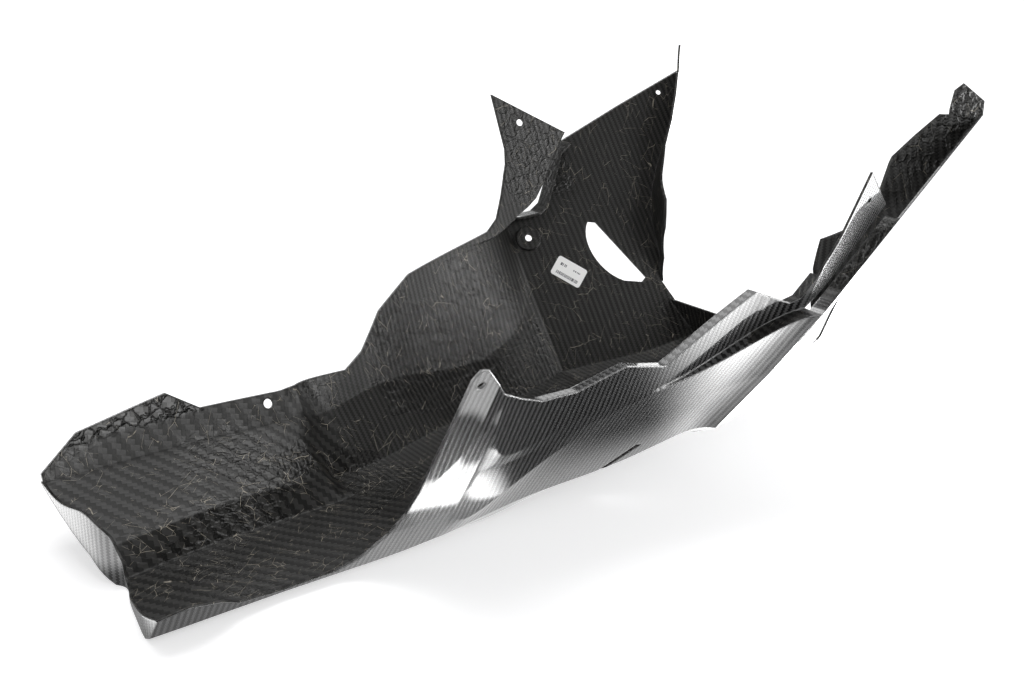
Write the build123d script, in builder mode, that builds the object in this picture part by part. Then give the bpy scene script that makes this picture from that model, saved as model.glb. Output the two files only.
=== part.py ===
"""Carbon fibre belly pan of a sports motorcycle, moulded as one shell.

X runs forward, Y to the bike's left and Z up. The pan stands on its flat rear floor, and the origin
is under the middle of its box, on the floor.
"""
import os

from build123d import *

os.makedirs("parts", exist_ok=True)

# The laminate, and the widths of its turned edges.
wall = 2.0
rim_flange = 8.0
slot_flange = 11.0

# Holes and cuts.
ear_hole = 6.5
wing_hole = 5.0
tab_hole = 6.5
lip_hole = 8.0
cup_radius = 9.5
cup_depth = 4.0
cup_hole = 6.5

# The label inside the left wall.
label_length = 31.0
label_width = 20.0
label_thickness = 0.4
label_radius = 2.5

# Where the box of the finished pan has its middle, measured from the rear end and the centre line.
box_middle_x = 344.5
box_middle_y = 0.0

# Height of the floor along the pan: flat at the rear, rising to the front.
floor_line = [(-12, 0), (218, 0.3), (343, 13), (423, 18), (483, 26), (563, 40), (612, 54), (700, 84)]

# The front side panels are planes: half breadth at the floor datum, and how it changes with x and z.
plane_station = 480.0
wing_breadth = 82.0
wing_narrowing = -0.5125
wing_flare = 0.70
ear_breadth = 106.8
ear_narrowing = -0.2635
ear_flare = 0.4327
panel_top = 320.0
panel_crown = 0.5


def along(line, x):
    """Value at x of a line given by points, straight between them."""
    for (x0, v0), (x1, v1) in zip(line, line[1:]):
        if x <= x1:
            return v0 + (v1 - v0) * (x - x0) / (x1 - x0)
    return line[-1][1]


def floor_at(x):
    return along(floor_line, x)


def wing_at(x, z):
    """Half breadth of the front side panel."""
    return wing_breadth + wing_narrowing * (x - plane_station) + wing_flare * z


def ear_at(x, z):
    """Half breadth of the ear panel."""
    return ear_breadth + ear_narrowing * (x - plane_station) + ear_flare * z


def inset(path, depth):
    """The open path moved to its inner side by depth, with mitred corners."""
    moved = []
    for i, (y, z) in enumerate(path):
        normals = []
        for a, b in ((i - 1, i), (i, i + 1)):
            if a >= 0 and b < len(path):
                step = Vector(path[b][0] - path[a][0], path[b][1] - path[a][1])
                normals.append(Vector(step.Y, -step.X).normalized())
        mean = sum(normals[1:], normals[0]).normalized()
        shift = mean * (depth / mean.dot(normals[0]))
        moved.append((y + shift.X, z + shift.Y))
    return moved


def section(x, path, depth):
    """Closed strip of laminate at station x, between the path and its inset."""
    with BuildSketch(Plane.YZ.offset(x)) as strip:
        with BuildLine():
            Polyline(*path, *reversed(inset(path, depth)), close=True)
        make_face()
    return strip.sketch.face()


def filled(x, path):
    """The whole section at station x, closed straight across its open top."""
    with BuildSketch(Plane.YZ.offset(x)) as whole:
        with BuildLine():
            Polyline(*path, close=True)
        make_face()
    return whole.sketch.face()


# Outer surface at each station, from the top of the left side over the floor to the top of the right.
# Left: top, upper and lower edge of the step, wall fold, bilge, floor edge. Right: the same in reverse.
rear_stations = {
    -12: [(152, 110), (142, 80), (139, 72), (127, 43), (46, 17), (22, 0),
          (-52, 0), (-62, 5), (-84, 33), (-100, 54), (-112, 73), (-156, 150)],
    60: [(156, 110), (143, 80), (139, 72), (127, 43), (53, 18), (34, 0),
         (-52, 0), (-62, 5), (-84, 33), (-100, 54), (-112, 73), (-156, 150)],
    120: [(156, 110), (143, 80), (139, 72), (127, 43), (57, 20), (40, 0),
          (-52, 0), (-62, 5), (-84, 33), (-100, 54), (-112, 73), (-156, 150)],
    173: [(152, 110), (140, 80), (137, 72), (125, 43), (60, 17), (41, 0),
          (-53, 0), (-63, 5), (-86, 36), (-107, 66), (-112, 73), (-186, 200)],
    204: [(150, 110), (138, 80), (135, 72), (123, 43), (64, 12), (42, 0),
          (-54, 0), (-65, 7), (-88, 38), (-113, 75), (-139, 117), (-184, 196)],
}
step_station = [(165, 120), (144, 85), (141, 77), (124, 47), (78, 4), (43, 0.3),
                (-54, 0.3), (-67, 9), (-90, 40), (-116, 79), (-143, 124), (-178, 196)]
middle_stations = {
    218: step_station,
    275: [(176, 160), (150, 100), (147, 92), (128, 48), (84, 4), (45, 3),
          (-54, 3), (-70, 17), (-98, 53), (-114, 80), (-122, 92), (-158, 160)],
    330: [(190, 190), (162, 125), (158, 116), (131, 52), (90, 12), (46, 10),
          (-54, 10), (-73, 22), (-117, 83), (-128, 98), (-134, 108), (-162, 170)],
    375: [(204, 225), (171, 143), (167, 133), (130, 48), (93, 16), (46, 14),
          (-54, 14), (-75, 24), (-116, 80), (-138, 110), (-137, 112), (-172, 190)],
    420: [(216, 260), (170, 146), (169, 143), (128, 55), (95, 19), (46, 17.5),
          (-54, 17.5), (-80, 31), (-117, 80), (-151, 125), (-144, 127), (-186, 220)],
    450: [(226, 280), (170, 150), (173, 148), (134, 70), (98, 23), (46, 21.5),
          (-52, 21.5), (-84, 37), (-125, 88), (-167, 143), (-156, 145), (-210, 270)],
}


# The front sections: heights of the split and of the panels' crown, and the breadth of the bilge.
split_top = 161.0
crown_height = 100.0
bilge_rise = 1.5
bilge_breadth = 18.0

# The right side is tucked in at the split: how much at the floor, the bilge and the crown, and how
# much higher its bilge is. The share of it dies out forward.
floor_tuck = 12.0
bilge_tuck = 14.0
crown_tuck = 5.5
bilge_lift = 10.5
tuck_share = [(480, 1), (563, 0), (700, 0)]

# Ahead of the split the right side swells out at its crown.
right_swell = [(480, 0), (522, 6), (563, 11), (612, 12), (700, 12)]


def front_path(x):
    """Outer path at a front station, with its side panels up to the panel top."""
    floor = floor_at(x)
    bilge = floor + bilge_rise
    upper = [(wing_at(x, panel_top), panel_top), (wing_at(x, split_top), split_top)]
    left = [(wing_at(x, crown_height) + panel_crown, crown_height), (wing_at(x, bilge), bilge),
            (wing_at(x, floor) - bilge_breadth, floor)]
    share = along(tuck_share, x)
    low = bilge + bilge_lift * share
    swell = along(right_swell, x)
    right = [(-wing_at(x, floor) + bilge_breadth + floor_tuck * share - swell, floor),
             (-wing_at(x, low) + bilge_tuck * share - swell, low),
             (-wing_at(x, crown_height) - panel_crown + crown_tuck * share - swell, crown_height)]
    return upper + left + right + [(-y, z) for y, z in reversed(upper)]


# The last middle station, where the pan splits into the wing and the ear.
ear_step = [(ear_at(plane_station, panel_top), panel_top), (ear_at(plane_station, split_top), split_top + 1)]
middle_stations[plane_station] = [
    *ear_step, *front_path(plane_station)[1:-1], *[(-y, z) for y, z in reversed(ear_step)]]
front_stations = [plane_station, 522, 563, 612, 700]

# Side view of the edges that trim each piece: points (x, z).
left_rim = [(-20, 45), (0, 49), (34, 72), (109, 84), (134, 68), (200, 67), (268, 69), (287, 81),
            (313, 109), (353, 132), (446, 155), (459, 164), (471, 182), (480, 198)]
right_rim = [(-20, 20), (0, 24), (20, 28), (45, 21), (60, 12), (92, 8), (137, 9), (152, 16), (166, 36),
             (173, 54), (174, 73), (178, 139), (179, 172), (183, 179), (189, 178), (214, 151),
             (235, 140), (257, 131), (289, 130), (328, 142), (369, 132), (410, 163), (435, 181),
             (469, 167), (475, 171), (480, 190)]
wing_top = [(480, 161), (490, 161), (506, 164), (515, 170), (528, 189), (545, 215), (556, 223)]
wing_crest = [(618, 252), (683, 281), (690, 284), (760, 313)]
ear_outline = [(480, 161), (496, 170), (506, 177), (519, 192), (537, 217), (551, 233), (488, 271),
               (488, 222), (485, 209), (480, 198)]
far_down = -40.0
far_side = 400.0


def side_prism(outline, side):
    """Prism of a side view outline, through the left (side 1) or right (side -1) half of the pan."""
    with BuildPart() as prism:
        with BuildSketch(Plane.XZ):
            with BuildLine():
                Polyline(*outline, close=True)
            make_face()
        extrude(amount=-far_side * side)
    return prism.part


above = [(480, 400), (-20, 400)]
over_wing = [(760, 400), (480, 400)]
ahead_of_lip = [(594, 99), (608, 52), (610, far_down), (760, far_down), (760, 99)]

# Rear and middle of the pan.
rear_plan = [(1, 140), (1, 95), (2, 70), (4, 48), (9, 31), (16, 20), (12, 2), (7, -17), (3, -35),
             (0, -50), (-1, -65), (-1, -120)]
rear_rim = [(140, 47), (115, 43), (95, 41.5), (70, 45), (48, 48), (36, 44), (27, 36), (23.5, 26),
            (20, 18), (18, 7), (15, 3), (0, 3), (-25, 8.5), (-53, 17), (-75, 24), (-120, 60)]


def rear_band(near, far):
    """Upright band along the rear edge in plan, between two distances in front of it."""
    with BuildPart() as band:
        with BuildSketch(Plane.XY.offset(far_down)):
            with BuildLine():
                rear = Spline(*[(x + near, y) for x, y in rear_plan])
                front = Spline(*[(x + far, y) for x, y in rear_plan])
                Line(rear @ 0, front @ 0)
                Line(rear @ 1, front @ 1)
            make_face()
        extrude(amount=far_side)
    return band.part


with BuildPart() as rear_wall:
    loft([filled(x, path) for x, path in rear_stations.items()])
    add(rear_band(0, wall), mode=Mode.INTERSECT)
    with BuildSketch(Plane.YZ.offset(-50)):
        with BuildLine():
            Spline(*rear_rim)
            Polyline(rear_rim[-1], (-120, far_side), (140, far_side), rear_rim[0])
        make_face()
    extrude(amount=100, mode=Mode.SUBTRACT)

with BuildPart() as rear_shell:
    loft([section(x, path, wall) for x, path in rear_stations.items()])
    loft([section(204, rear_stations[204], wall), section(218, step_station, wall)], ruled=True)
    add(rear_band(-60, wall / 2), mode=Mode.SUBTRACT)
    add(rear_wall.part)
    add(side_prism(left_rim + above, 1), mode=Mode.SUBTRACT)
    add(side_prism(right_rim + above, -1), mode=Mode.SUBTRACT)

with BuildPart() as middle_shell:
    loft([section(x, path, wall) for x, path in middle_stations.items()])
    add(side_prism(left_rim + above, 1), mode=Mode.SUBTRACT)
    add(side_prism(right_rim + above, -1), mode=Mode.SUBTRACT)

# The rim of the right side, turned in.
with BuildPart() as right_flange:
    loft([section(x, path, rim_flange) for x, path in middle_stations.items()])
    rim = [point for point in right_rim if point[0] >= 257]
    add(side_prism(rim + [(x, z - wall) for x, z in reversed(rim)], -1), mode=Mode.INTERSECT)

# The wings' leading edges are folded back. At each height, from the top down: a point on the fold and
# one on the flange behind it, in plan.
fold_lines = [
    (330, (690, 173), (669.7, 155.2)), (284, (690, 173), (669.7, 155.2)), (266, (690, 173), (669.7, 155.2)),
    (244, (668, 156.5), (636, 128)), (222, (652, 149.3), (627, 126)), (196, (632.4, 141.1), (611, 112)),
    (176, (619.6, 133.7), (597.5, 92)), (150, (609, 120.9), (594.6, 89.2)), (122, (604.8, 103.4), (594.6, 89.2)),
    (99, (597, 91.3), (594.6, 89.2)),
]
flange_free_edge = [(675, 300), (669.7, 292), (636, 249), (627, 224), (611, 191), (597.5, 178), (594.6, 152),
                    (594.6, 99), (587, 80)]
fold_inward = 80.0
fold_outward = 60.0
fold_overlap = 1.0


def fold_block(levels, back, ahead):
    """Left-hand block along the fold, reaching back and ahead of the front face of the flange."""
    with BuildPart() as block:
        for height, on_fold, on_flange in levels:
            reach = (Vector(*on_fold) - Vector(*on_flange)).normalized()
            square = Vector(reach.Y, -reach.X)
            outer = Vector(*on_fold) + reach * fold_outward
            inner = Vector(*on_fold) - reach * fold_inward
            corners = [inner - square * back, outer - square * back, outer + square * ahead,
                       inner + square * ahead]
            with BuildSketch(Plane.XY.offset(height)):
                with BuildLine():
                    Polyline(*[(corner.X, corner.Y) for corner in corners], close=True)
                make_face()
        loft(ruled=True)
    return block.part


front_sections = [filled(x, front_path(x)) for x in front_stations]
with BuildPart() as leading_flange:
    loft(front_sections)
    add(fold_block(fold_lines[1:], wall, fold_overlap), mode=Mode.INTERSECT)
    add(side_prism(flange_free_edge + [(400, 80), (400, 300)], 1), mode=Mode.SUBTRACT)
    mirror(about=Plane.XZ)

# The upturned front edge of the floor.
lip_side = [(608, 52), (596, 84), (596 - wall, 84), (606 - wall, 52)]
with BuildPart() as lip_plate:
    with BuildSketch(Plane.XZ):
        with BuildLine():
            Polyline(*lip_side, close=True)
        make_face()
    extrude(amount=far_side, both=True)

with BuildPart() as front_lip:
    loft(front_sections)
    add(lip_plate.part, mode=Mode.INTERSECT)

# The joggled tongue on top of each flange.
fold_top = (690, 173, 284)
flange_plane = Plane(origin=fold_top, x_dir=(0.751, 0.66, 0), z_dir=(0.66, -0.751, 0))
tongue_outline = [(-10, -14), (-1, 0), (-1, 11), (-18.7, 25), (-25.6, 19), (-28, 4), (-28, -14)]
with BuildPart() as tongue:
    with BuildSketch(flange_plane):
        with BuildLine():
            Polyline(*tongue_outline, close=True)
        make_face()
    extrude(amount=-wall)
    mirror(about=Plane.XZ)

with BuildPart() as front_shell:
    loft([section(x, front_path(x), wall) for x in front_stations])
    add(front_lip.part)
    for side in (1, -1):
        add(side_prism(wing_top + wing_crest + over_wing, side), mode=Mode.SUBTRACT)
    add(leading_flange.part)
    for side in (1, -1):
        add(side_prism(ahead_of_lip, side), mode=Mode.SUBTRACT)
    ahead = fold_block(fold_lines, 0, far_side)
    add(ahead, mode=Mode.SUBTRACT)
    add(ahead.mirror(Plane.XZ), mode=Mode.SUBTRACT)
    add(tongue.part)

# Flanges turned in along the slots, and the steps they continue.
with BuildPart() as slot_flanges:
    loft([section(x, front_path(x), slot_flange) for x in front_stations])
    band = wing_top + [(x + 0.3 * wall, z - wall) for x, z in reversed(wing_top)]
    add(side_prism(band, 1), mode=Mode.INTERSECT)
    mirror(about=Plane.XZ)

# The ears, one each side.
ear_stations = (plane_station, 560)


def ear_face(x):
    """Section of the left ear panel at station x."""
    low = (ear_at(x, 150), 150)
    high = (ear_at(x, panel_top), panel_top)
    with BuildSketch(Plane.YZ.offset(x)) as strip:
        with BuildLine():
            Polyline(high, low, *reversed(inset([high, low], wall)), close=True)
        make_face()
    return strip.sketch.face()


with BuildPart() as ears:
    loft([ear_face(x) for x in ear_stations])
    add(side_prism(ear_outline, 1), mode=Mode.INTERSECT)
    mirror(about=Plane.XZ)

# Cups for the side bolts, pressed into the front side panels.
wing_normal = Vector(-wing_narrowing, 1, -wing_flare).normalized()
cup_x, cup_z = 494, 139
cup_plane = Plane(origin=(cup_x, wing_at(cup_x, cup_z), cup_z), z_dir=wing_normal)
with BuildPart() as cup:
    with BuildSketch(cup_plane.offset(-cup_depth - wall)):
        Circle(cup_radius + wall)
    extrude(amount=cup_depth + wall / 2)
with BuildPart() as cup_hollow:
    with BuildSketch(cup_plane.offset(-cup_depth)):
        Circle(cup_radius)
    extrude(amount=cup_depth + wall)
    with BuildSketch(cup_plane.offset(-cup_depth - 2 * wall)):
        Circle(cup_hole / 2)
    extrude(amount=cup_depth)

# Bolt holes, each a pin square to its panel.
ear_normal = Vector(-ear_narrowing, 1, -ear_flare).normalized()
hole_places = {
    "ear": ((509, ear_at(509, 244), 244), ear_normal, ear_hole),
    "wing": ((659.5, wing_at(659.5, 262), 262), wing_normal, wing_hole),
}


def pin(place, direction, diameter):
    """Cylinder through a panel for a bolt hole."""
    with BuildPart() as rod:
        with BuildSketch(Plane(origin=place, z_dir=direction).offset(-4 * wall)):
            Circle(diameter / 2)
        extrude(amount=8 * wall)
    return rod.part


tab_place = (188, -165.9, 165.5)
tab_direction = (0, -0.864, -0.504)
lip_place = (190, 131.2, 59)
lip_direction = (0, 0.924, -0.382)

# Air vents in the front side panels, and the drain slit low on the right side.
vent_left = [(550, 152), (543, 134), (547, 115), (562, 101)]
vent_right = [(562, 101), (578, 99), (582, 102), (557, 151), (550, 152)]
with BuildPart() as vent:
    with BuildSketch(Plane.XZ):
        with BuildLine():
            Spline(*vent_left)
            Polyline(*vent_right)
        make_face()
    extrude(amount=-far_side)
slit = [(366, 21), (371, 20), (402, 42), (395, 44)]

with BuildPart() as belly_pan:
    add(rear_shell.part)
    for piece in (middle_shell, front_shell, slot_flanges, ears, right_flange):
        add(piece.part)
    for side in (1, -1):
        flip = Plane.XZ
        add(cup.part if side > 0 else cup.part.mirror(flip))
        add(cup_hollow.part if side > 0 else cup_hollow.part.mirror(flip), mode=Mode.SUBTRACT)
        add(vent.part if side > 0 else vent.part.mirror(flip), mode=Mode.SUBTRACT)
        for place, direction, diameter in hole_places.values():
            rod = pin(place, direction, diameter)
            add(rod if side > 0 else rod.mirror(flip), mode=Mode.SUBTRACT)
    add(pin(tab_place, tab_direction, tab_hole), mode=Mode.SUBTRACT)
    add(pin(lip_place, lip_direction, lip_hole), mode=Mode.SUBTRACT)
    add(side_prism(slit, -1), mode=Mode.SUBTRACT)

# The label lies on the inner face of the left front panel.
label_x, label_z = 518, 110
label_origin = Vector(label_x, wing_at(label_x, label_z), label_z) - wing_normal * 1.75
with BuildPart() as label_sticker:
    with BuildSketch(Plane(origin=label_origin, x_dir=(0.611, -0.627, -0.482), z_dir=-wing_normal)):
        RectangleRounded(label_length, label_width, label_radius)
    extrude(amount=label_thickness)

to_origin = Location((-box_middle_x, -box_middle_y, 0))
for name, piece in (("belly_pan", belly_pan), ("label_sticker", label_sticker)):
    moved = piece.part.moved(to_origin)
    moved.label = name
    export_step(moved, f"parts/{name}.step")
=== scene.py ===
"""Looks of a carbon fibre motorcycle belly pan: twill outside, bagged face inside, on a pale floor."""
import math

import bpy
from mathutils import Matrix, Vector


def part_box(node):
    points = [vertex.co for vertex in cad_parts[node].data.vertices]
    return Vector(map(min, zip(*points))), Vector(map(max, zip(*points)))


bl_info = {
    "name": "Carbon belly pan",
    "version": (1, 0, 0),
    "blender": (4, 5, 0),
    "location": "View3D > Sidebar > Belly pan",
    "description": "Finishes and stage for a carbon fibre belly pan",
    "category": "Object",
}

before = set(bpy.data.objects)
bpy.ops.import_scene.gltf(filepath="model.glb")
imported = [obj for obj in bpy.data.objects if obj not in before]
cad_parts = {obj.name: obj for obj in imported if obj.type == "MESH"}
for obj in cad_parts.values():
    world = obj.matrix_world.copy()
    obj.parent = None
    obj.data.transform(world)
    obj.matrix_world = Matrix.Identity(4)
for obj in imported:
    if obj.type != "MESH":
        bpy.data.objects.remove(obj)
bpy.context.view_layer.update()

# Lengths are in metres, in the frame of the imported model.

# The inner face looks towards this point in the trough, and the outer face away from it.
TROUGH_CENTRE = (0.0, 0.0, 0.10)
# The cloth turns up the side beyond this distance from the middle, round a line a little nearer to it.
SIDE_START = 0.055
SIDE_TURN = 0.04
# A face whose normal has more than this along X looks ahead or back.
END_ON = 0.75
# How far the tows of the fine and the coarse cloth are turned from straight across the pan.
FINE_TURN = math.radians(45)
COARSE_TURN = math.radians(15)
WEAVE_DEPTH = 0.00011
WRINKLE_DEPTH = 0.0009

# Directions along the label and across it, and its bars: from and to along the label, from and to across it,
# in parts of its size, and how finely each is broken.
LABEL_LENGTHWISE = (0.611, -0.627, -0.482)
LABEL_CROSSWISE = (0.696, 0.137, 0.704)
LABEL_BARS = (
    (-0.36, 0.38, -0.36, -0.20, 60.0),
    (-0.36, -0.14, 0.10, 0.24, 24.0),
    (0.10, 0.34, 0.12, 0.19, 30.0),
)

# Bright cards painted on the floor as a glow that only reflections in the clear coat see: where each starts
# and ends along X, where it starts and ends beside the pan, and its share of the card glare.
PAINTED_GLARE_CARDS = (
    ((-0.145, -0.139), (-0.070, -0.045), (0.088, 0.092), (0.118, 0.124), 1.0),
    ((-0.085, -0.075), (-0.030, -0.020), (0.160, 0.168), (0.200, 0.210), 0.4),
)
# Direction of the bright panel in the surround, seen in reflections alone.
PANEL_DIRECTION = (0.366, -0.785, 0.500)

# Soft lamps: name, place, target, size and the setting that holds the power.
LAMPS = (
    ("key_light", (0.1, 0.5, 1.7), (0.0, 0.0, 0.0), (1.6, 1.2), "key_power"),
    ("fill_light", (-1.4, -1.3, 1.2), (0.0, 0.0, 0.1), (1.0, 0.8), "fill_power"),
    ("side_light", (0.60, -0.62, 0.22), (0.18, -0.16, 0.10), (0.35, 0.35), "side_power"),
)

CAMERA_PLACE = (-0.6255, -0.800, 0.469)
CAMERA_RIGHT = (0.7893, -0.6141, 0.0)
CAMERA_UP = (0.2017, 0.2593, 0.9445)
CAMERA_BACK = (-0.5800, -0.7455, 0.3285)
SENSOR_WIDTH = 36.0


# Properties

class BELLYPAN_PG_laminate(bpy.types.PropertyGroup):
    """Sizes and colours of the woven laminate."""
    tow_width: bpy.props.FloatProperty(
        name="Tow width", description="Width of one tow of the cloth", default=0.00165, unit="LENGTH")
    coarse_tow_width: bpy.props.FloatProperty(
        name="Coarse tow width", description="Width of one tow of the cloth inside the rear", default=0.0036,
        unit="LENGTH")
    twill_colour: bpy.props.FloatVectorProperty(
        name="Twill colour", description="Colour of the tows under the clear coat",
        default=(0.095, 0.095, 0.096), size=3, subtype="COLOR")
    bag_colour: bpy.props.FloatVectorProperty(
        name="Bagged face colour", description="Colour of the rough inner face",
        default=(0.0225, 0.022, 0.0205), size=3, subtype="COLOR")
    mark_colour: bpy.props.FloatVectorProperty(
        name="Fibre mark colour", description="Colour of the pale marks on the inner face",
        default=(0.44, 0.40, 0.33), size=3, subtype="COLOR")
    # Painted highlight: the pale colour laid on creases and trimmed edges.
    edge_highlight_colour: bpy.props.FloatVectorProperty(
        name="Edge colour", description="Colour of the creases and trimmed edges", default=(0.22, 0.22, 0.22),
        size=3, subtype="COLOR")
    edge_radius: bpy.props.FloatProperty(
        name="Edge radius", description="Radius that creases and edges look rounded to", default=0.0022,
        unit="LENGTH")
    coat_roughness: bpy.props.FloatProperty(
        name="Coat roughness", description="Roughness of the clear coat", default=0.04, min=0, max=1)


class BELLYPAN_PG_label(bpy.types.PropertyGroup):
    """Size and colours of the label inside the left wall."""
    label_length: bpy.props.FloatProperty(
        name="Label length", description="Length of the label", default=0.031, unit="LENGTH")
    label_width: bpy.props.FloatProperty(
        name="Label width", description="Width of the label", default=0.020, unit="LENGTH")
    paper_colour: bpy.props.FloatVectorProperty(
        name="Paper colour", description="Colour of the label", default=(0.90, 0.90, 0.89), size=3,
        subtype="COLOR")
    bar_colour: bpy.props.FloatVectorProperty(
        name="Bar colour", description="Colour of the plain bars on the label",
        default=(0.12, 0.12, 0.13), size=3, subtype="COLOR")


class BELLYPAN_PG_stage(bpy.types.PropertyGroup):
    """Floor, lights and camera."""
    floor_size: bpy.props.FloatProperty(
        name="Floor size", description="Side of the square floor", default=12.0, unit="LENGTH")
    floor_glare: bpy.props.FloatProperty(
        name="Floor glare", description="Brightness of the lit floor in reflections", default=9.0)
    card_glare: bpy.props.FloatProperty(
        name="Card glare", description="Brightness of the cards in reflections", default=6.0)
    lens: bpy.props.FloatProperty(
        name="Lens", description="Focal length in millimetres", default=47.46)
    key_power: bpy.props.FloatProperty(
        name="Key light power", description="Power of the large soft light overhead", default=16.0)
    fill_power: bpy.props.FloatProperty(
        name="Fill light power", description="Power of the soft light beside the camera", default=5.0)
    side_power: bpy.props.FloatProperty(
        name="Side light power", description="Power of the low soft light beside the front", default=3.0)


# Shader helpers

class Tree:
    """Small helper that adds nodes to a node tree and links them."""

    def __init__(self, nodes, links):
        self.nodes = nodes
        self.links = links

    def add(self, kind, **settings):
        node = self.nodes.new(kind)
        for key, value in settings.items():
            setattr(node, key, value)
        return node

    def feed(self, socket, value):
        """Link an output to the socket, or set the socket's own value."""
        if isinstance(value, bpy.types.NodeSocket):
            self.links.new(value, socket)
        elif value is not None:
            socket.default_value = value

    def math(self, operation, a, b=None, clamp=False):
        node = self.add("ShaderNodeMath", operation=operation, use_clamp=clamp)
        for socket, value in zip(node.inputs, (a, b)):
            self.feed(socket, value)
        return node.outputs[0]

    def product(self, first, *others):
        """Product of any number of values."""
        for other in others:
            first = self.math("MULTIPLY", first, other)
        return first

    def total(self, first, *others):
        """Sum of any number of values."""
        for other in others:
            first = self.math("ADD", first, other)
        return first

    def highest(self, first, *others):
        """Largest of any number of values."""
        for other in others:
            first = self.math("MAXIMUM", first, other)
        return first

    def vector(self, operation, a, b=None, scale=None):
        node = self.add("ShaderNodeVectorMath", operation=operation)
        self.feed(node.inputs[0], a)
        self.feed(node.inputs[1], b)
        if scale is not None:
            self.feed(node.inputs["Scale"], scale)
        return node.outputs["Value" if operation in {"DOT_PRODUCT", "LENGTH"} else "Vector"]

    def mix(self, factor, a, b):
        """Blend of two colours."""
        node = self.add("ShaderNodeMix", data_type="RGBA")
        self.feed(node.inputs["Factor"], factor)
        self.feed(node.inputs[6], a)
        self.feed(node.inputs[7], b)
        return node.outputs[2]

    def blend(self, factor, a, b):
        """Blend of two values."""
        node = self.add("ShaderNodeMix", data_type="FLOAT")
        for socket, value in zip(node.inputs[:4], (factor, None, a, b)):
            self.feed(socket, value)
        return node.outputs[0]

    def ramp(self, value, low, high, to_low=0.0, to_high=1.0):
        """Smooth step from one value to another as the first goes from low to high."""
        node = self.add("ShaderNodeMapRange", interpolation_type="SMOOTHSTEP")
        for key, number in (("Value", value), ("From Min", low), ("From Max", high), ("To Min", to_low),
                            ("To Max", to_high)):
            self.feed(node.inputs[key], number)
        return node.outputs["Result"]

    def window(self, value, rise, fall):
        """Mask that rises over one range of the value and falls over another."""
        return self.product(self.ramp(value, *rise), self.ramp(value, *fall, 1.0, 0.0))

    def between(self, value, low, high):
        """Hard mask of the values from low to high."""
        return self.product(self.math("GREATER_THAN", value, low), self.math("LESS_THAN", value, high))

    def noise(self, vector, scale, detail=2.0, roughness=0.5):
        node = self.add("ShaderNodeTexNoise")
        self.feed(node.inputs["Vector"], vector)
        for key, number in (("Scale", scale), ("Detail", detail), ("Roughness", roughness)):
            node.inputs[key].default_value = number
        return node.outputs["Fac"]

    def cracks(self, vector, scale):
        """Distance to the edge of the nearest Voronoi cell."""
        node = self.add("ShaderNodeTexVoronoi", feature="DISTANCE_TO_EDGE")
        self.feed(node.inputs["Vector"], vector)
        node.inputs["Scale"].default_value = scale
        return node.outputs["Distance"]

    def split(self, vector):
        node = self.add("ShaderNodeSeparateXYZ")
        self.feed(node.inputs[0], vector)
        return node.outputs

    def join(self, x=0.0, y=0.0, z=0.0):
        node = self.add("ShaderNodeCombineXYZ")
        for socket, value in zip(node.inputs, (x, y, z)):
            self.feed(socket, value)
        return node.outputs[0]

    def bump(self, height, distance, strength, normal):
        node = self.add("ShaderNodeBump")
        self.feed(node.inputs["Height"], height)
        node.inputs["Distance"].default_value = distance
        node.inputs["Strength"].default_value = strength
        self.feed(node.inputs["Normal"], normal)
        return node.outputs["Normal"]

    def group(self, tree, **values):
        """Node group with its inputs set, an underscore standing for a space in their names."""
        node = self.add("ShaderNodeGroup", node_tree=tree)
        for key, value in values.items():
            self.feed(node.inputs[key.replace("_", " ")], value)
        return node.outputs


def opaque(colour, share=1.0):
    """A setting's colour, or a share of it, with full alpha."""
    return tuple(part * share for part in colour) + (1.0,)


def new_group(name, inputs, outputs):
    """Empty shader node group with named inputs and outputs, and its helper."""
    tree = bpy.data.node_groups.new(name, "ShaderNodeTree")
    for label, kind in inputs:
        tree.interface.new_socket(label, in_out="INPUT", socket_type=kind)
    for label in outputs:
        tree.interface.new_socket(label, in_out="OUTPUT", socket_type="NodeSocketFloat")
    helper = Tree(tree.nodes, tree.links)
    return tree, helper, helper.add("NodeGroupInput").outputs, helper.add("NodeGroupOutput").inputs


def new_material(name):
    """New material with its helper and its Principled BSDF."""
    material = bpy.data.materials.new(name)
    material.use_nodes = True
    helper = Tree(material.node_tree.nodes, material.node_tree.links)
    return material, helper, material.node_tree.nodes["Principled BSDF"]


# Finishes

def twill_group():
    """2x2 twill cloth laid over a flat (u, v) map."""
    tree, t, inp, out = new_group(
        "Twill cloth", [("Map", "NodeSocketVector"), ("Tow width", "NodeSocketFloat")],
        ["Warp on top", "Height", "Streak"])
    u, v, _ = t.split(t.vector("SCALE", inp["Map"], scale=t.math("DIVIDE", 1.0, inp["Tow width"])))
    column = t.math("FLOOR", u)
    row = t.math("FLOOR", v)
    phase = t.math("FLOORED_MODULO", t.math("SUBTRACT", column, row), 4.0)
    warp = t.math("LESS_THAN", phase, 2.0)

    def arch(place):
        """Height over one cell or float, nought at its ends."""
        return t.math("SINE", t.product(t.math("FRACT", place), math.pi))

    # A tow dives at the ends of its float, two cells long.
    weft_float = t.product(t.total(t.math("SUBTRACT", u, row), 2.0), 0.5)
    warp_float = t.product(t.math("SUBTRACT", v, column), 0.5)
    warp_height = t.product(t.math("POWER", arch(u), 0.5), t.math("POWER", arch(warp_float), 0.6))
    weft_height = t.product(t.math("POWER", arch(v), 0.5), t.math("POWER", arch(weft_float), 0.6))
    # Each tow's filaments show as streaks along it.
    fine, long = 9.0, 0.35
    warp_streak = t.noise(t.join(t.product(u, fine), t.product(v, long)), 1.0, 1.0)
    weft_streak = t.noise(t.join(t.product(u, long), t.product(v, fine)), 1.0, 1.0)
    t.feed(out["Warp on top"], warp)
    t.feed(out["Height"], t.blend(warp, weft_height, warp_height))
    t.feed(out["Streak"], t.blend(warp, weft_streak, warp_streak))
    return tree


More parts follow.
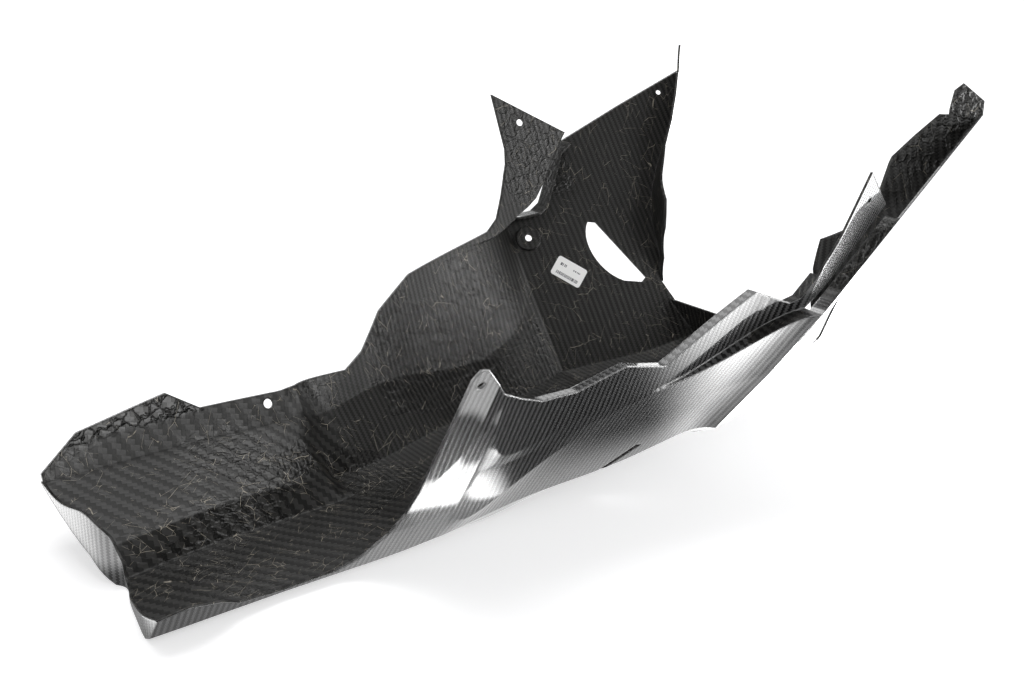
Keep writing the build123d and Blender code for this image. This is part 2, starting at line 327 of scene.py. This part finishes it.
def wrinkle_group():
    """Ridges and hollows that a vacuum bag leaves in resin."""
    tree, t, inp, out = new_group(
        "Bag wrinkles", [("Map", "NodeSocketVector")], ["Height", "Ridge", "Patch"])
    place = inp["Map"]
    shifts = ((0.0, 0.0, 0.0), (3.1, 1.7, 0.4), (7.3, 2.9, 5.5))
    drift = t.join(*(t.noise(t.vector("ADD", place, shift), 70.0, 3.0) for shift in shifts))
    warped = t.vector("ADD", place, t.vector("SCALE", drift, scale=0.022))
    ridge = t.ramp(t.cracks(warped, 95.0), 0.0, 0.14, 1.0, 0.0)
    patch = t.ramp(t.noise(place, 9.0), 0.45, 0.66)
    broad = t.noise(place, 120.0, 4.0, 0.6)
    t.feed(out["Height"], t.total(t.product(ridge, patch, 0.35), t.product(broad, 0.5)))
    t.feed(out["Ridge"], ridge)
    t.feed(out["Patch"], patch)
    return tree


def marks_group():
    """Short thin pale threads where bare fibres and lint show in the resin."""
    tree, t, inp, out = new_group("Fibre marks", [("Map", "NodeSocketVector")], ["Mark"])
    place = inp["Map"]
    x, y, z = t.split(place)
    bend = t.vector("SCALE", t.join(*(t.noise(place, scale) for scale in (45.0, 37.0, 41.0))), scale=0.011)
    layers = []
    # Each layer of threads leans its own way and is stretched along it.
    for lean, seed, scale in ((0.6, 0.3, 30.0), (-0.9, 1.7, 38.0)):
        leaning = t.join(t.total(x, t.product(y, lean)),
                         t.product(t.math("SUBTRACT", y, t.product(x, lean)), 3.4), z)
        moved = t.vector("ADD", t.vector("ADD", leaning, bend), (seed, seed, seed))
        line = t.ramp(t.cracks(moved, scale), 0.002, 0.009, 1.0, 0.0)
        broken = t.ramp(t.noise(t.vector("ADD", place, (seed, 0.1, 0.7)), 62.0), 0.54, 0.60)
        layers.append(t.product(line, broken))
    t.feed(out["Mark"], t.math("MULTIPLY", t.highest(*layers), 0.85, clamp=True))
    return tree


def cloth_maps(t, place, facing):
    """Flat maps of the fine and the coarse cloth, laid along the pan and up its sides, on the bias."""
    x, y, z = t.split(place)
    from_middle = t.math("ABSOLUTE", y)
    past_turn = t.math("SUBTRACT", from_middle, SIDE_TURN)
    girth = t.math("SQRT", t.total(t.product(past_turn, past_turn), t.product(z, z)))
    on_side = t.math("GREATER_THAN", from_middle, SIDE_START)
    # On the faces that look ahead or back it runs across and up.
    end_on = t.math("GREATER_THAN", t.math("ABSOLUTE", t.split(facing)[0]), END_ON)
    wave = t.noise(place, 6.0, 1.0)
    along = t.total(t.blend(end_on, x, y), t.product(wave, 0.012))
    across = t.total(t.blend(end_on, t.blend(on_side, y, girth), z), t.product(wave, 0.010))
    maps = []
    for turn in (FINE_TURN, COARSE_TURN):
        cosine, sine = math.cos(turn), math.sin(turn)
        maps.append(t.join(t.total(t.product(across, cosine), t.product(along, sine)),
                           t.math("SUBTRACT", t.product(across, sine), t.product(along, cosine))))
    return maps


def crinkle_zones(t, place):
    """Mask of the crisp glossy crinkles on the ears, the rear flap and the top of the right flange."""
    x, y, z = t.split(place)
    ears = t.product(t.ramp(z, 0.168, 0.185), t.ramp(x, 0.200, 0.215, 0.6, 0.0))
    flap = t.product(t.ramp(z, 0.062, 0.069), t.ramp(x, -0.215, -0.200, 1.0, 0.0))
    on_right = t.math("LESS_THAN", y, 0.0)
    flange_top = t.product(t.ramp(x, 0.27, 0.29), t.ramp(z, 0.22, 0.28, 0.15, 1.0), on_right)
    return t.highest(ears, flap, flange_top)


def carbon_material(laminate):
    """Clear coated twill outside and a dark bagged face inside, told apart by where the surface faces."""
    material, t, shader = new_material("Carbon laminate")
    geometry = t.add("ShaderNodeNewGeometry")
    place = geometry.outputs["Position"]
    facing = geometry.outputs["True Normal"]
    outward = t.vector("DOT_PRODUCT", facing, t.vector("SUBTRACT", place, TROUGH_CENTRE))
    outside = t.math("GREATER_THAN", outward, 0.0)
    x = t.split(place)[0]
    twill = twill_group()
    fine_map, coarse_map = cloth_maps(t, place, facing)
    cloth = t.group(twill, Map=fine_map, Tow_width=laminate.tow_width)
    coarse = t.group(twill, Map=coarse_map, Tow_width=laminate.coarse_tow_width)
    bag = t.group(wrinkle_group(), Map=place)
    crinkle = crinkle_zones(t, place)
    edges = t.add("ShaderNodeBevel", samples=4)
    edges.inputs["Radius"].default_value = laminate.edge_radius
    rounded = edges.outputs["Normal"]

    # Outside, the colour carries a painted sheen, the tows shining or staying dark by the way they run, and a
    # painted highlight makes the creases and trimmed edges pale.
    # Painted sheen: tows on top take nearly the full twill colour and the others a dark share of it, with
    # streaks along them.
    streak = t.product(t.math("SUBTRACT", cloth["Streak"], 0.5), 0.3)
    painted_tow_sheen = t.math("ADD", t.blend(cloth["Warp on top"], 0.05, 0.95), streak, clamp=True)
    edge_highlight = t.ramp(t.vector("DOT_PRODUCT", rounded, facing), 0.80, 0.93, 1.0, 0.0)
    outer_colour = t.mix(painted_tow_sheen, opaque(laminate.twill_colour, 0.12), opaque(laminate.twill_colour))
    outer_colour = t.mix(edge_highlight, outer_colour, opaque(laminate.edge_highlight_colour))

    # Inside, a coarse cloth covers the rear and a fine one the sides, under a patchy face with loose fibres.
    rear = t.ramp(x, -0.11, -0.09, 1.0, 0.0)
    inner_warp = t.blend(rear, cloth["Warp on top"], coarse["Warp on top"])
    inner_height = t.blend(rear, cloth["Height"], coarse["Height"])
    patchy = t.ramp(t.noise(place, 9.0, 3.0), 0.3, 0.7, 0.3, 1.3)
    bag_tone = t.product(t.blend(inner_warp, 0.1, 1.0), patchy)
    marks = t.product(t.group(marks_group(), Map=place)["Mark"], t.ramp(x, -0.10, 0.02, 1.0, 0.6))
    inner_colour = t.mix(bag_tone, opaque(laminate.bag_colour, 0.4), opaque(laminate.bag_colour))
    inner_colour = t.mix(marks, inner_colour, opaque(laminate.mark_colour))
    t.feed(shader.inputs["Base Color"], t.mix(outside, inner_colour, outer_colour))

    # A dark metallic tow mirrors little, so the ribs stand out where the cloth shines.
    t.feed(shader.inputs["Metallic"], t.blend(
        outside, t.blend(inner_warp, 0.40, 0.0), t.blend(cloth["Warp on top"], 0.85, 0.15)))
    inner_rough = t.total(t.blend(t.highest(bag["Patch"], crinkle), 0.40, 0.20), t.product(marks, 0.3))
    outer_rough = t.blend(cloth["Warp on top"], 0.40, 0.26)
    t.feed(shader.inputs["Roughness"], t.blend(outside, inner_rough, outer_rough))
    shader.inputs["Specular IOR Level"].default_value = 0.42
    t.feed(shader.inputs["Coat Weight"], outside)
    t.feed(shader.inputs["Coat Normal"], rounded)
    shader.inputs["Coat Roughness"].default_value = laminate.coat_roughness
    shader.inputs["Coat IOR"].default_value = 1.6

    weave_height = t.blend(outside, t.product(inner_height, 0.8), cloth["Height"])
    weave_normal = t.bump(weave_height, WEAVE_DEPTH, 1.0, rounded)
    wrinkle_height = t.product(t.math("SUBTRACT", 1.0, outside), t.total(
        bag["Height"], t.product(bag["Ridge"], crinkle, 0.9)))
    t.feed(shader.inputs["Normal"], t.bump(wrinkle_height, WRINKLE_DEPTH, 0.6, weave_normal))
    return material


def label_material(label):
    """White paper with a few plain bars."""
    material, t, shader = new_material("Label paper")
    low, high = (Vector(corner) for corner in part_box("label_sticker"))
    place = t.add("ShaderNodeNewGeometry").outputs["Position"]
    local = t.vector("SUBTRACT", place, (low + high) / 2)
    length = t.vector("DOT_PRODUCT", local, Vector(LABEL_LENGTHWISE) / label.label_length)
    across = t.vector("DOT_PRODUCT", local, Vector(LABEL_CROSSWISE) / label.label_width)
    bars = []
    for left, right, bottom, top, scale in LABEL_BARS:
        broken = t.math("GREATER_THAN", t.noise(t.join(t.product(length, scale)), 1.0, 0.0), 0.47)
        bars.append(t.product(t.between(across, bottom, top), t.between(length, left, right), broken))
    t.feed(shader.inputs["Base Color"], t.mix(
        t.highest(*bars), opaque(label.paper_colour), opaque(label.bar_colour)))
    t.feed(shader.inputs["Roughness"], t.ramp(t.noise(place, 900.0), 0.3, 0.7, 0.45, 0.6))
    return material


def floor_material(stage):
    """Pale floor, with painted light and shade laid out for reflections apart from how it looks to the
    camera.
    """
    material, t, shader = new_material("Pale floor")
    shader.inputs["Roughness"].default_value = 0.9
    path = t.add("ShaderNodeLightPath")
    # Painted shade: to reflections the floor's colour is dim.
    t.feed(shader.inputs["Base Color"], t.mix(
        path.outputs["Is Glossy Ray"], (0.80, 0.80, 0.81, 1.0), (0.10, 0.10, 0.10, 1.0)))
    place = t.add("ShaderNodeNewGeometry").outputs["Position"]
    x, y, _ = t.split(place)
    beside = t.math("ABSOLUTE", y)
    seen = t.product(path.outputs["Is Camera Ray"], t.ramp(t.vector("LENGTH", place), 0.6, 2.2, 0.52, 0.9))
    # In reflections alone the floor shows painted light: a glowing floor ahead of the middle and behind the
    # rear, glowing cards beside the pan, a pale strip under its edges, and a dim floor between them as
    # painted shade.
    ahead = t.product(t.ramp(x, 0.10, 0.34, 0.0, stage.floor_glare), t.ramp(x, 0.45, 0.60, 1.0, 0.3))
    behind = t.ramp(x, -0.372, -0.345, 2.6, 0.0)
    strip = t.product(t.ramp(beside, 0.070, 0.100, 0.8, 0.0), t.ramp(x, -0.30, -0.16, 0.35, 1.0))
    cards = t.total(*(t.product(t.window(x, start, end), t.window(beside, near, far), share)
                      for start, end, near, far, share in PAINTED_GLARE_CARDS))
    glare = t.total(ahead, strip, behind, t.product(cards, stage.card_glare))
    mirrored = t.product(path.outputs["Is Glossy Ray"], glare)
    shader.inputs["Emission Color"].default_value = (1.0, 1.0, 1.0, 1.0)
    t.feed(shader.inputs["Emission Strength"], t.total(seen, mirrored))
    return material


def white_surround():
    """World that is white to the camera. In reflections it is white low down, with one bright panel."""
    world = bpy.data.worlds.new("White surround")
    world.use_nodes = True
    t = Tree(world.node_tree.nodes, world.node_tree.links)
    background = world.node_tree.nodes["Background"]
    path = t.add("ShaderNodeLightPath")
    direction = t.add("ShaderNodeTexCoord").outputs["Generated"]
    panel = t.ramp(t.vector("DOT_PRODUCT", direction, PANEL_DIRECTION), 0.955, 0.985, 0.0, 5.0)
    glow = t.ramp(t.split(direction)[2], 0.22, 0.60, 1.7, 0.10)
    mirrored = t.blend(path.outputs["Is Glossy Ray"], 0.42, t.total(glow, panel))
    background.inputs["Color"].default_value = (1.0, 1.0, 1.0, 1.0)
    t.feed(background.inputs["Strength"], t.highest(path.outputs["Is Camera Ray"], mirrored))
    return world


# Steps

def dress(name, material):
    """Give a CAD node its finish."""
    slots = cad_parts[name].data.materials
    slots.clear()
    slots.append(material)


def add_lamp(name, place, target, size, power):
    """Soft area lamp at a place, aimed at a target."""
    lamp = bpy.data.lights.new(name, "AREA")
    lamp.shape = "RECTANGLE"
    lamp.size, lamp.size_y = size
    lamp.energy = power
    holder = bpy.data.objects.new(name, lamp)
    holder.location = place
    holder.rotation_euler = (Vector(target) - Vector(place)).to_track_quat("-Z", "Y").to_euler()
    bpy.context.collection.objects.link(holder)


def add_camera(focal_length):
    """Camera at the photograph's place and angle."""
    lens = bpy.data.cameras.new("photo_camera")
    lens.lens = focal_length
    lens.sensor_width = SENSOR_WIDTH
    camera = bpy.data.objects.new("photo_camera", lens)
    bpy.context.collection.objects.link(camera)
    turn = Matrix((CAMERA_RIGHT, CAMERA_UP, CAMERA_BACK)).transposed().to_4x4()
    camera.matrix_world = Matrix.Translation(CAMERA_PLACE) @ turn
    bpy.context.scene.camera = camera


class BELLYPAN_OT_shell(bpy.types.Operator):
    """Finish the pan in clear coated twill outside and a rough bagged face inside"""
    bl_idname = "bellypan.shell"
    bl_label = "Finish the shell"

    def execute(self, context):
        dress("belly_pan", carbon_material(context.scene.bellypan_laminate))
        return {"FINISHED"}


class BELLYPAN_OT_label(bpy.types.Operator):
    """Finish the label inside the left wall"""
    bl_idname = "bellypan.label"
    bl_label = "Finish the label"

    def execute(self, context):
        dress("label_sticker", label_material(context.scene.bellypan_label))
        return {"FINISHED"}


class BELLYPAN_OT_stage(bpy.types.Operator):
    """Build the pale floor, the soft lights, the white surround and the camera"""
    bl_idname = "bellypan.stage"
    bl_label = "Build the stage"

    def execute(self, context):
        stage = context.scene.bellypan_stage
        bpy.ops.mesh.primitive_plane_add(size=stage.floor_size, location=(0, 0, 0))
        floor = context.object
        floor.name = "studio_floor"
        floor.data.materials.append(floor_material(stage))
        context.scene.world = white_surround()
        for name, place, target, size, power in LAMPS:
            add_lamp(name, place, target, size, getattr(stage, power))
        add_camera(stage.lens)
        context.scene.view_settings.view_transform = "Standard"
        return {"FINISHED"}


class BELLYPAN_PT_panel(bpy.types.Panel):
    """Panel with the steps of the belly pan's looks"""
    bl_idname = "BELLYPAN_PT_panel"
    bl_label = "Belly pan"
    bl_space_type = "VIEW_3D"
    bl_region_type = "UI"
    bl_category = "Belly pan"

    def draw(self, context):
        for operator in OPERATORS:
            self.layout.operator(operator.bl_idname)


OPERATORS = (BELLYPAN_OT_shell, BELLYPAN_OT_label, BELLYPAN_OT_stage)
SETTINGS = {"bellypan_laminate": BELLYPAN_PG_laminate, "bellypan_label": BELLYPAN_PG_label,
            "bellypan_stage": BELLYPAN_PG_stage}


def register():
    """Register the classes and hang the settings on the scene."""
    for cls in (*SETTINGS.values(), *OPERATORS, BELLYPAN_PT_panel):
        bpy.utils.register_class(cls)
    for name, cls in SETTINGS.items():
        setattr(bpy.types.Scene, name, bpy.props.PointerProperty(type=cls))


def unregister():
    """Take the settings and the classes away again."""
    for name in SETTINGS:
        delattr(bpy.types.Scene, name)
    for cls in (*SETTINGS.values(), *OPERATORS, BELLYPAN_PT_panel):
        bpy.utils.unregister_class(cls)


def main():
    """Run every step."""
    register()
    bpy.ops.bellypan.shell()
    bpy.ops.bellypan.label()
    bpy.ops.bellypan.stage()


if __name__ == "__main__":
    main()
